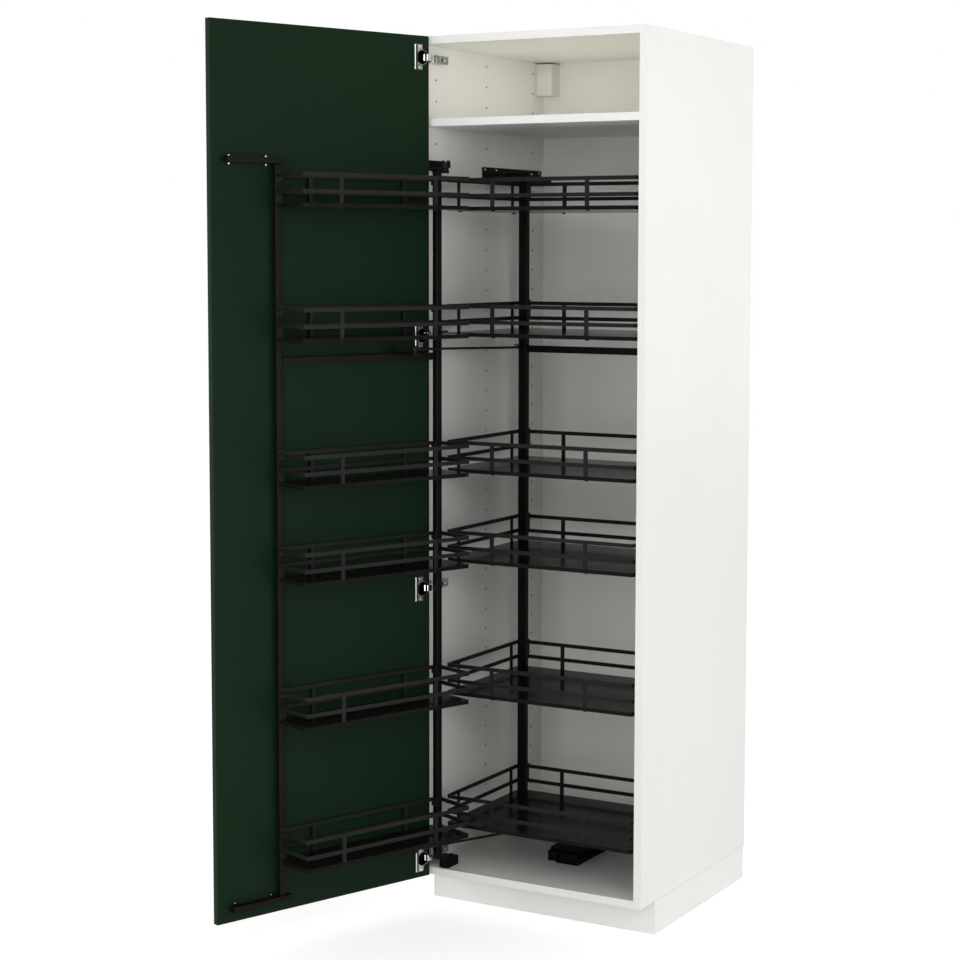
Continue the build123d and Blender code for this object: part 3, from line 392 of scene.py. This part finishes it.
swing_spots = []
slide_spots = []
for tier in TIERS:
    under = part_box(f"front_tray_{tier}")[0].z / MM
    swing_spots += [(on_swing(e, n, under), -UP) for e in BASKET_ENDS for n in BASKET_SIDES]
    low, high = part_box(f"rear_tray_{tier}")
    for x in (low.x + SHELF_UPRIGHT_IN, high.x - SHELF_UPRIGHT_IN):
        slide_spots += [(Vector((x, y, low.z)), -UP) for y in (low.y + EDGE_IN, high.y - EDGE_IN)]
    for y in (low.y + SIDE_UPRIGHTS[0], high.y - SIDE_UPRIGHTS[1]):
        slide_spots += [(Vector((x, y, low.z)), -UP) for x in (low.x + EDGE_IN, high.x - EDGE_IN)]

# painted shade: near black for the recess of a screw drive, also used beside the hinge flanges and in the arm
# slots
cut = coating("screw_drive_shadow", "#1a1a1a", "#121212", "#2a2a2a", 20, 0.6, 0.02, (0.5, 0.6))
blackened = {"head_radius": 5.0 * MM, "head_height": 2.3 * MM, "metal": finishes["dark_steel"], "cut": cut}
grown("basket_tray_screws", swing_spots, screws, "front_frame", "dark_steel", **blackened)
grown("shelf_tray_screws", slide_spots, screws, "rear_frame", "dark_steel", **blackened)

# %% [markdown]
# Bright screws show on the hinges and the door's guides. Each hinge has two in the wing plate on the door
# and one in its arm. The guides have a pair through each foot, and four screws hold the wall bracket. The
# top bracket is set with three short black knobs, and the bottom pivot block with one.

# %% Screws of the hinges, guides and brackets
HINGES = (125.5, 781.0, 1382.0, 2029.0)
WING_SCREW = (27.5, 2.0, 24.0)
ARM_FACE_X = -262.0
ARM_SCREW_Y = -19.5
ARM_SLOT_Y = -30.5
GUIDE_FEET = ((552.0, 8.6), (456.0, 9.2))
GUIDE_FOOT_OUT = 2.0
GUIDE_MIDDLES = (1777.0, 115.0)
LOW_GUIDE_HOLES = ((498.0, 21.0), (433.0, 19.0))
KNOBS = ((-229.0, -62.0), (-219.5, -71.8), (-229.0, -81.0))
KNOBS_Z = 1787.3
BLOCK_SCREW = (-230.2, -42.0, 120.0)
WALL_PLATE_X = -279.0
WALL_PLATE_SCREWS = ((199.0, 1780.5), (255.0, 1780.5), (436.0, 1776.5), (476.0, 1780.5))


def spot(x, y, z):
    """A place in millimetres as a vector in metres."""
    return Vector((x, y, z)) * MM


TO_RIGHT = Vector((1, 0, 0))
TO_BACK = Vector((0, 1, 0))
along, out, reach = WING_SCREW
wing_spots = [(on_door(along, out, z + side * reach), OUT) for z in HINGES for side in (-1, 1)]
foot_spots = [(on_door(u, GUIDE_FOOT_OUT, z + side * half), OUT)
              for z in GUIDE_MIDDLES for u, half in GUIDE_FEET for side in (-1, 1)]
arm_spots = [(spot(ARM_FACE_X, ARM_SCREW_Y, z), TO_RIGHT) for z in HINGES]
slot_spots = [(spot(ARM_FACE_X, ARM_SLOT_Y, z), TO_RIGHT) for z in HINGES]
guide_hole_spots = [(on_door(u, n, GUIDE_MIDDLES[1]), OUT) for u, n in LOW_GUIDE_HOLES]
plate_spots = [(spot(WALL_PLATE_X, y, z), TO_RIGHT) for y, z in WALL_PLATE_SCREWS]
knob_spots = [(spot(x, y, KNOBS_Z), UP) for x, y in KNOBS]
knob_spots.append((spot(*BLOCK_SCREW), UP))

bright = {"metal": polished, "cut": cut}
grown("hinge_wing_screws", wing_spots, screws, "door", "zinc_steel",
      head_radius=3.6 * MM, head_height=1.8 * MM, **bright)
grown("guide_foot_screws", foot_spots, screws, "door", "zinc_steel",
      head_radius=2.7 * MM, head_height=1.6 * MM, **bright)
grown("hinge_arm_screws", arm_spots, screws, "carcass", "zinc_steel",
      head_radius=3.4 * MM, head_height=0.8 * MM, **bright)
grown("wall_plate_screws", plate_spots, screws, "carcass", "zinc_steel",
      head_radius=3.0 * MM, head_height=1.4 * MM, **bright)
black = {"metal": finishes["black_plastic"], "cut": cut}
grown("bracket_knobs", knob_spots, screws, "carcass", "black_plastic",
      head_radius=3.2 * MM, head_height=4.0 * MM, **black)

# %% [markdown]
# The hinge cups have a thin plate on the door. Its outer edge is folded up into a slanted flange that
# catches the light, and beside the fold lies a strip of shade, painted as a thin dark sheet. Both have the
# same outline all the way up, so a plan and two heights do.

# %% Flanges of the hinge plates, and the painted shadow beside them


def prisms(name, plan, heights, place, body, material):
    """Upright prisms over one plan, as one plain mesh that rides on a body."""
    corners, faces = [], []
    count = len(plan)
    for bottom, top in heights:
        first = len(corners)
        corners += [place(a, b, c) for c in (bottom, top) for a, b in plan]
        faces.append([first + i for i in reversed(range(count))])
        faces.append([first + count + i for i in range(count)])
        for i in range(count):
            j = (i + 1) % count
            faces.append([first + i, first + j, first + count + j, first + count + i])
    mesh = bpy.data.meshes.new(name)
    mesh.from_pydata(corners, [], faces)
    mesh.materials.append(material)
    piece = bpy.data.objects.new(name, mesh)
    bpy.context.scene.collection.objects.link(piece)
    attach(piece, body)
    print(name, "-", len(heights), "of them,", len(faces), "faces")
    return piece


WING_HALF = 28.5
FLANGE = ((40.6, 1.8), (43.0, 0.8), (41.5, 2.4), (40.6, 2.4))
# a thin dark sheet beside the fold: painted shadow
FLANGE_SHADOW_PLAN = ((34.6, 1.8), (39.4, 1.8), (39.4, 2.1), (34.6, 2.1))
wing_heights = [(z - WING_HALF, z + WING_HALF) for z in HINGES]
prisms("hinge_flanges", FLANGE, wing_heights, on_door, "door", polished)
prisms("hinge_grooves", FLANGE_SHADOW_PLAN, wing_heights, on_door, "door", cut)

# %% [markdown]
# The back panel is pinned to the carcass all round. The pins only show from behind, where they tell a
# real cabinet from a box. Their spacing comes from the panel's own CAD box.

# %% Pins of the back panel
PIN_IN = 9.0 * MM
PIN_COLUMNS = 7
PIN_ROWS = 15
low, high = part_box("back_panel")
across = [low.x + PIN_IN + i * (high.x - low.x - 2 * PIN_IN) / (PIN_COLUMNS - 1) for i in range(PIN_COLUMNS)]
upward = [low.z + PIN_IN + i * (high.z - low.z - 2 * PIN_IN) / (PIN_ROWS - 1) for i in range(PIN_ROWS)]
pin_spots = [(Vector((x, high.y, z)), TO_BACK) for x in across for z in (upward[0], upward[-1])]
pin_spots += [(Vector((x, high.y, z)), TO_BACK) for x in (across[0], across[-1]) for z in upward[1:-1]]
grown("back_panel_pins", pin_spots, screws, "carcass", "zinc_steel",
      head_radius=2.6 * MM, head_height=0.7 * MM, **bright)

# %% [markdown]
# The side panels are drilled with rows of holes for shelf pins, 50 mm apart, in three columns. A drilled
# hole shows as a small dark eye, because its inside lies in shade. A second tree sets a shallow dish with a
# bevelled rim at each place, a tenth of a millimetre proud and painted in that shade, which reads as a hole
# at any distance and leaves the CAD panels whole. The same painted shade stands for the slot in each hinge
# arm and for two holes in the lower guide.

# %% Shelf-pin holes
RIM_SHARE = 0.85
DISH_SIDES = 14


def dish_tree():
    """A tree that sets a shallow dish on every point, painted dark as the shade in a hole."""
    tree = bpy.data.node_groups.new("pin_holes", "GeometryNodeTree")
    socket_of(tree, "Points", "NodeSocketGeometry")
    socket_of(tree, "Hole radius", "NodeSocketFloat", 2.6 * MM)
    socket_of(tree, "Rim height", "NodeSocketFloat", 0.12 * MM)
    socket_of(tree, "Shade", "NodeSocketMaterial")
    tree.interface.new_socket("Holes", in_out="OUTPUT", socket_type="NodeSocketGeometry")
    given = add(tree, "NodeGroupInput").outputs
    inner = add(tree, "ShaderNodeMath", {0: given["Hole radius"], 1: RIM_SHARE}, operation="MULTIPLY")
    dish = add(tree, "GeometryNodeMeshCone", {"Vertices": DISH_SIDES, "Radius Top": inner.outputs["Value"],
                                              "Radius Bottom": given["Hole radius"],
                                              "Depth": given["Rim height"]})
    facing = add(tree, "GeometryNodeInputNamedAttribute", {"Name": FACING}, data_type="FLOAT_VECTOR")
    turned = add(tree, "FunctionNodeAlignRotationToVector", {"Vector": facing.outputs["Attribute"]}, axis="Z")
    copies = add(tree, "GeometryNodeInstanceOnPoints", {"Points": given["Points"],
                                                        "Instance": dish.outputs["Mesh"],
                                                        "Rotation": turned.outputs["Rotation"]})
    solid = add(tree, "GeometryNodeRealizeInstances", {"Geometry": copies.outputs["Instances"]})
    shaded = add(tree, "GeometryNodeSetMaterial", {"Geometry": solid.outputs["Geometry"],
                                                   "Material": given["Shade"]})
    add(tree, "NodeGroupOutput", {"Holes": shaded.outputs["Geometry"]})
    return tree


COLUMNS_Y = (-26.0, 211.0, 448.0)
FIRST_HOLE_Z = 133.0
HOLE_STEP = 50.0
HOLE_COUNT = 39
WIDE_HOLE = 4.0 * MM
shelf_low, shelf_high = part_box("fixed_shelf")
left_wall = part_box("side_panel_left")[1].x / MM
right_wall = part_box("side_panel_right")[0].x / MM
hole_spots = []
for step in range(HOLE_COUNT):
    z = FIRST_HOLE_Z + step * HOLE_STEP
    if not shelf_low.z < z * MM < shelf_high.z:
        hole_spots += [(spot(left_wall, y, z), TO_RIGHT) for y in COLUMNS_Y]
        hole_spots += [(spot(right_wall, y, z), -TO_RIGHT) for y in COLUMNS_Y]
# painted shade: the dark inside of a drilled hole
painted_hole_shade = coating("drilled_board_shade", "#12110f", "#0c0b0a", "#1e1c19", 6, 0.8, 0.05, (0.7, 0.85))
holes = dish_tree()
grown("shelf_pin_holes", hole_spots, holes, "carcass", "melamine_white", shade=painted_hole_shade)
# the arm slots and guide holes get the same painted shade, in the drive's near black and in black plastic
grown("hinge_arm_slots", slot_spots, holes, "carcass", "zinc_steel", hole_radius=WIDE_HOLE, shade=cut)
grown("low_guide_holes", guide_hole_spots, holes, "door", "dark_steel", hole_radius=WIDE_HOLE,
      shade=finishes["black_plastic"])

# %% [markdown]
# A soft studio. A white sky lights from all round, and does most of the work. Weak softboxes shape it: a
# broad fill in front, a low one that reaches the plinth under its overhang, one from the right with a
# narrow one beside it for the top bay, one for each flank and the back, and a strip that draws a
# highlight down the rounded corners of the rails. A faint warm lamp lies on the fixed shelf, hidden from
# the camera, and stands in for the light that the bay's pale boards throw to and fro. The camera sees
# pure white behind the cabinet, and so do the shiny parts, through the Light Path node. That changes what
# a mirror shows, and not how much light falls on the cabinet.

# %% Sky, floor and lamps
SKY_LIGHT = 0.57
FLOOR_GLOW = 0.53
FLOOR_GREY = (0.85, 0.85, 0.85, 1.0)
WHITE = (1.0, 1.0, 1.0, 1.0)
world = bpy.data.worlds.new("studio_sky")
bpy.context.scene.world = world
world.use_nodes = True
sky = world.node_tree
sky.nodes.clear()


def seen_directly(tree):
    """1 for rays from the camera, a mirror or a glass, 0 for those that only light things."""
    path = add(tree, "ShaderNodeLightPath").outputs
    shiny = add(tree, "ShaderNodeMath", {0: path["Is Glossy Ray"], 1: path["Is Transmission Ray"]},
                operation="MAXIMUM")
    return add(tree, "ShaderNodeMath", {0: path["Is Camera Ray"], 1: shiny.outputs["Value"]},
               operation="MAXIMUM").outputs["Value"]


strength = add(sky, "ShaderNodeMapRange", {"Value": seen_directly(sky), "To Min": SKY_LIGHT, "To Max": 1.0})
backdrop = add(sky, "ShaderNodeBackground", {"Color": WHITE, "Strength": strength.outputs["Result"]})
add(sky, "ShaderNodeOutputWorld", {"Surface": backdrop.outputs["Background"]})

floor_paint = bpy.data.materials.new("pale_floor")
floor_paint.use_nodes = True
paint_tree = floor_paint.node_tree
paint_tree.nodes.clear()
matt = add(paint_tree, "ShaderNodeBsdfDiffuse", {"Color": FLOOR_GREY})
glow = add(paint_tree, "ShaderNodeEmission", {"Color": WHITE})
glow_level = add(paint_tree, "ShaderNodeMath", {0: seen_directly(paint_tree), 1: FLOOR_GLOW},
                 operation="MULTIPLY")
paint_tree.links.new(glow_level.outputs["Value"], glow.inputs["Strength"])
both = add(paint_tree, "ShaderNodeAddShader", {0: matt.outputs["BSDF"], 1: glow.outputs["Emission"]})
add(paint_tree, "ShaderNodeOutputMaterial", {"Surface": both.outputs["Shader"]})

FLOOR_HALF = 12.0
FLOOR_DROP = 0.5 * MM
floor_mesh = bpy.data.meshes.new("studio_floor")
corners = [(x * FLOOR_HALF, y * FLOOR_HALF, -FLOOR_DROP) for x, y in ((-1, -1), (1, -1), (1, 1), (-1, 1))]
floor_mesh.from_pydata(corners, [], [(0, 1, 2, 3)])
floor_mesh.materials.append(floor_paint)
floor = bpy.data.objects.new("studio_floor", floor_mesh)
bpy.context.scene.collection.objects.link(floor)
floor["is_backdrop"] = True


def softbox(name, place, target, wide, tall, watts, spread=180):
    """An oblong lamp that looks at a point. A grid in front of it may narrow its spread, in degrees."""
    lamp = bpy.data.lights.new(name, "AREA")
    lamp.shape = "RECTANGLE"
    lamp.size = wide
    lamp.size_y = tall
    lamp.energy = watts
    lamp.spread = radians(spread)
    holder = bpy.data.objects.new(name, lamp)
    holder.location = place
    holder.rotation_euler = (Vector(target) - Vector(place)).to_track_quat("-Z", "Y").to_euler()
    bpy.context.scene.collection.objects.link(holder)
    return holder


softbox("front_fill", (1.0, -4.8, 1.9), (0.0, 0.2, 1.1), 2.6, 2.6, 42)
softbox("low_fill", (0.6, -4.2, 0.35), (0.0, 0.0, 1.1), 2.4, 0.6, 10)
softbox("right_fill", (2.5, -2.1, 2.0), (-0.28, 0.2, 1.9), 0.8, 0.8, 10)
softbox("bay_fill", (1.6, -2.6, 2.1), (-0.28, 0.2, 1.98), 0.6, 0.4, 0.12, spread=16)
softbox("side_fill", (4.4, -0.6, 1.1), (0.2, 0.2, 1.0), 2.0, 2.0, 34)
softbox("left_fill", (-4.0, -2.6, 1.6), (-0.4, -0.4, 1.1), 2.0, 2.0, 30)
softbox("back_fill", (1.6, 4.6, 1.8), (0.0, 0.5, 1.1), 2.0, 2.0, 20)
softbox("front_strip", (-1.3, -5.0, 1.3), (0.0, 0.0, 1.1), 0.35, 2.2, 8)
BAY_LAMP_LIFT = 5 * MM
bay_floor = Vector((0.0, 0.2, shelf_high.z + BAY_LAMP_LIFT))
bay_glow = softbox("bay_glow", bay_floor, bay_floor + UP, 0.5, 0.45, 0.22)
bay_glow.data.color = linear("#fefce8")[:3]
bay_glow.visible_camera = False
print("sky light", SKY_LIGHT, "and nine softboxes")

# %% [markdown]
# The camera stands where the photographer stood: in front and to the right, at about eye height, tipped
# down by a few degrees. A small lens shift keeps the cabinet's edges nearly upright, as a view camera
# does.

# %% Camera
CAMERA_PLACE = (2.33334, -4.29132, 1.57866)
CAMERA_TURN = radians(29.2168)
CAMERA_TIP = radians(4.877)
CAMERA_ROLL = radians(0.1646)
LENS_MM = 78.3068
SENSOR_MM = 36.0
LENS_SHIFT = (-0.04167, -0.05208)
lens = bpy.data.cameras.new("portrait_camera")
lens.lens = LENS_MM
lens.sensor_width = SENSOR_MM
lens.shift_x, lens.shift_y = LENS_SHIFT
camera = bpy.data.objects.new("portrait_camera", lens)
turn = (Matrix.Rotation(CAMERA_TURN, 4, "Z") @ Matrix.Rotation(pi / 2 - CAMERA_TIP, 4, "X")
        @ Matrix.Rotation(CAMERA_ROLL, 4, "Z"))
camera.matrix_world = Matrix.Translation(CAMERA_PLACE) @ turn
bpy.context.scene.collection.objects.link(camera)
bpy.context.scene.camera = camera
bpy.context.scene.view_settings.view_transform = "Standard"
print("camera at", CAMERA_PLACE)

# %% [markdown]
# Last, the dressed model's box is printed. It should hardly differ from the CAD model's, because Blender
# changes how the cabinet looks and not how large it is.

# %% Size of the dressed model
low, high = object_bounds()
print("visual box", [round(v, 4) for v in low], [round(v, 4) for v in high])
